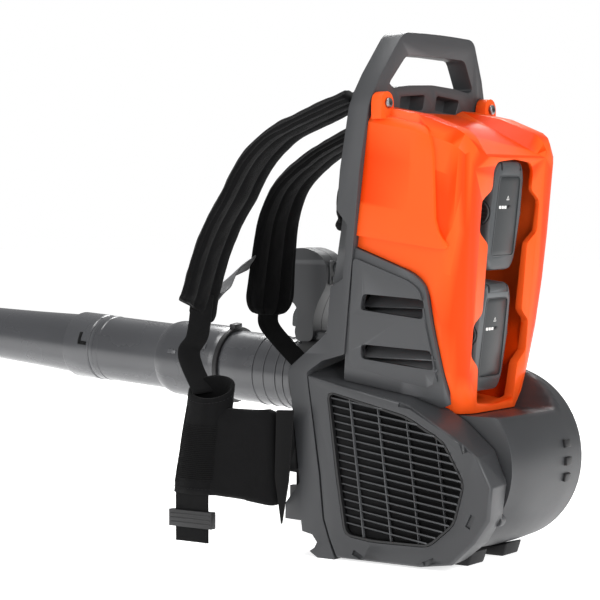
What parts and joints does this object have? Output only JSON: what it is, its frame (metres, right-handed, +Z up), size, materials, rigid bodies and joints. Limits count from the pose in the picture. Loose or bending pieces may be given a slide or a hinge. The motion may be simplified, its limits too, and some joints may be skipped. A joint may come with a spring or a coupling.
{
  "type": "backpack leaf blower",
  "caption": "Battery backpack blower with a leaning frame, orange rear cover, padded harness, slatted intake, fan housing and a long jointed blower tube with a control handle.",
  "frame": {"origin": "on the floor, in the middle of the machine, between the feet and the bottom edge of the frame", "axes": "+Z up; +Y the way the wearer faces, towards the nozzle; +X the wearer's right, where the blower tube runs"},
  "size_m": [0.339, 1.1938, 0.5395],
  "materials": {
    "orange_shell": "satin orange moulded shell",
    "grey_frame": "fine-textured dark grey moulding",
    "grey_housing": "fine-textured grey moulding",
    "grey_pipe": "satin grey blow-moulded pipe",
    "pack_grey": "textured grey battery case",
    "pack_dark": "dark label panel",
    "black_plastic": "black moulding",
    "black_rubber": "flexible black bellows",
    "black_fabric": "padded woven nylon",
    "steel": "bare steel"
  },
  "bodies": {
    "machine": {"back_frame": "grey_frame", "back_pad": "black_fabric", "battery_dock": "black_plastic", "chest_strap": "black_fabric", "controller": "steel", "ear_screw_left": "steel", "ear_screw_right": "steel", "fan_motor": "steel", "foot_left": "black_plastic", "foot_right": "black_plastic", "hip_buckle_left": "black_plastic", "hip_buckle_right": "black_plastic", "hip_pad_left": "black_fabric", "hip_pad_right": "black_fabric", "hip_tab_left": "black_fabric", "hip_tab_right": "black_fabric", "hip_webbing_left": "black_fabric", "hip_webbing_right": "black_fabric", "intake_cover_left": "grey_housing", "intake_grille": "black_plastic", "motor_bearing_front": "steel", "motor_bearing_rear": "steel", "rear_cover": "orange_shell", "shoulder_strap_left": "black_fabric", "shoulder_strap_right": "black_fabric", "shoulder_webbing_left": "black_fabric", "shoulder_webbing_right": "black_fabric", "side_panel_left": "grey_frame", "side_panel_right": "grey_frame", "terminal_block_lower": "black_plastic", "terminal_block_upper": "black_plastic", "volute_left": "grey_housing", "volute_right": "grey_housing"},
    "rotor": {"impeller": "black_plastic", "fan_shaft": "steel"},
    "pack_upper": {"battery_upper": "pack_grey", "battery_upper_label": "pack_dark"},
    "pack_lower": {"battery_lower": "pack_grey", "battery_lower_label": "pack_dark"},
    "release_upper_left": {"battery_upper_button_left": "black_plastic"},
    "release_upper_right": {"battery_upper_button_right": "black_plastic"},
    "release_lower_left": {"battery_lower_button_left": "black_plastic"},
    "release_lower_right": {"battery_lower_button_right": "black_plastic"},
    "elbow_assembly": {"elbow": "grey_pipe", "bellows": "black_rubber", "bellows_clamp_rear": "black_plastic"},
    "rear_tube": {"rear_pipe": "grey_pipe", "pipe_sleeve": "grey_pipe", "bellows_clamp_front": "black_plastic"},
    "middle_tube": {"mid_pipe": "grey_pipe"},
    "front_tube": {"front_pipe": "grey_pipe"},
    "nozzle_tip": {"nozzle": "grey_pipe"},
    "control_handle": {"handle_bracket": "grey_frame", "control_grip": "grey_frame", "grip_keypad": "black_plastic"},
    "trigger": {"throttle_trigger": "pack_grey"},
    "power_switch": {"power_button": "black_plastic"}
  },
  "joints": [
    {"name": "impeller_spin", "type": "hinge", "parent": "machine", "child": "rotor", "pos_m": [0, -0.045, 0.082], "axis": [1, 0, 0], "continuous": true},
    {"name": "battery_upper_slide", "type": "slide", "parent": "machine", "child": "pack_upper", "axis": [0, -0.9932, -0.1167], "range_m": [0, 0.1]},
    {"name": "upper_release_left", "type": "slide", "parent": "pack_upper", "child": "release_upper_left", "axis": [1, 0, 0], "range_m": [0, 0.0025], "stiffness_N_per_m": 400},
    {"name": "upper_release_right", "type": "slide", "parent": "pack_upper", "child": "release_upper_right", "axis": [-1, 0, 0], "range_m": [0, 0.0025], "stiffness_N_per_m": 400},
    {"name": "battery_lower_slide", "type": "slide", "parent": "machine", "child": "pack_lower", "axis": [0, -0.9932, -0.1167], "range_m": [0, 0.1]},
    {"name": "lower_release_left", "type": "slide", "parent": "pack_lower", "child": "release_lower_left", "axis": [1, 0, 0], "range_m": [0, 0.0025], "stiffness_N_per_m": 400},
    {"name": "lower_release_right", "type": "slide", "parent": "pack_lower", "child": "release_lower_right", "axis": [-1, 0, 0], "range_m": [0, 0.0025], "stiffness_N_per_m": 400},
    {"name": "elbow_pitch", "type": "hinge", "parent": "machine", "child": "elbow_assembly", "pos_m": [0.118, -0.02, 0.144], "axis": [1, 0, 0], "range_deg": [-8, 30]},
    {"name": "bellows_yaw", "type": "hinge", "parent": "elbow_assembly", "child": "rear_tube", "pos_m": [0.17, 0.1272, 0.15342], "axis": [0, 0, 1], "range_deg": [-12, 1], "deforming": ["bellows"]},
    {"name": "handle_swivel", "type": "hinge", "parent": "rear_tube", "child": "control_handle", "pos_m": [0.17, 0.23847, 0.16053], "axis": [0, 0.998, 0.0638], "range_deg": [-8, 22]},
    {"name": "middle_pipe_twist", "type": "hinge", "parent": "rear_tube", "child": "middle_tube", "pos_m": [0.17, 0.40912, 0.17145], "axis": [0, 0.998, 0.0638], "range_deg": [0, 30]},
    {"name": "front_pipe_twist", "type": "hinge", "parent": "middle_tube", "child": "front_tube", "pos_m": [0.17, 0.57878, 0.1823], "axis": [0, 0.998, 0.0638], "range_deg": [0, 30]},
    {"name": "nozzle_twist", "type": "hinge", "parent": "front_tube", "child": "nozzle_tip", "pos_m": [0.17, 0.86818, 0.20081], "axis": [0, 0.998, 0.0638], "range_deg": [0, 30]},
    {"name": "throttle_pull", "type": "hinge", "parent": "control_handle", "child": "trigger", "pos_m": [0.17, 0.2525, 0.2425], "axis": [-1, 0, 0], "range_deg": [0, 8], "stiffness_Nm_per_rad": 0.25},
    {"name": "power_press", "type": "slide", "parent": "control_handle", "child": "power_switch", "axis": [0, 1, 0], "range_m": [0, 0.002], "stiffness_N_per_m": 300}
  ]
}
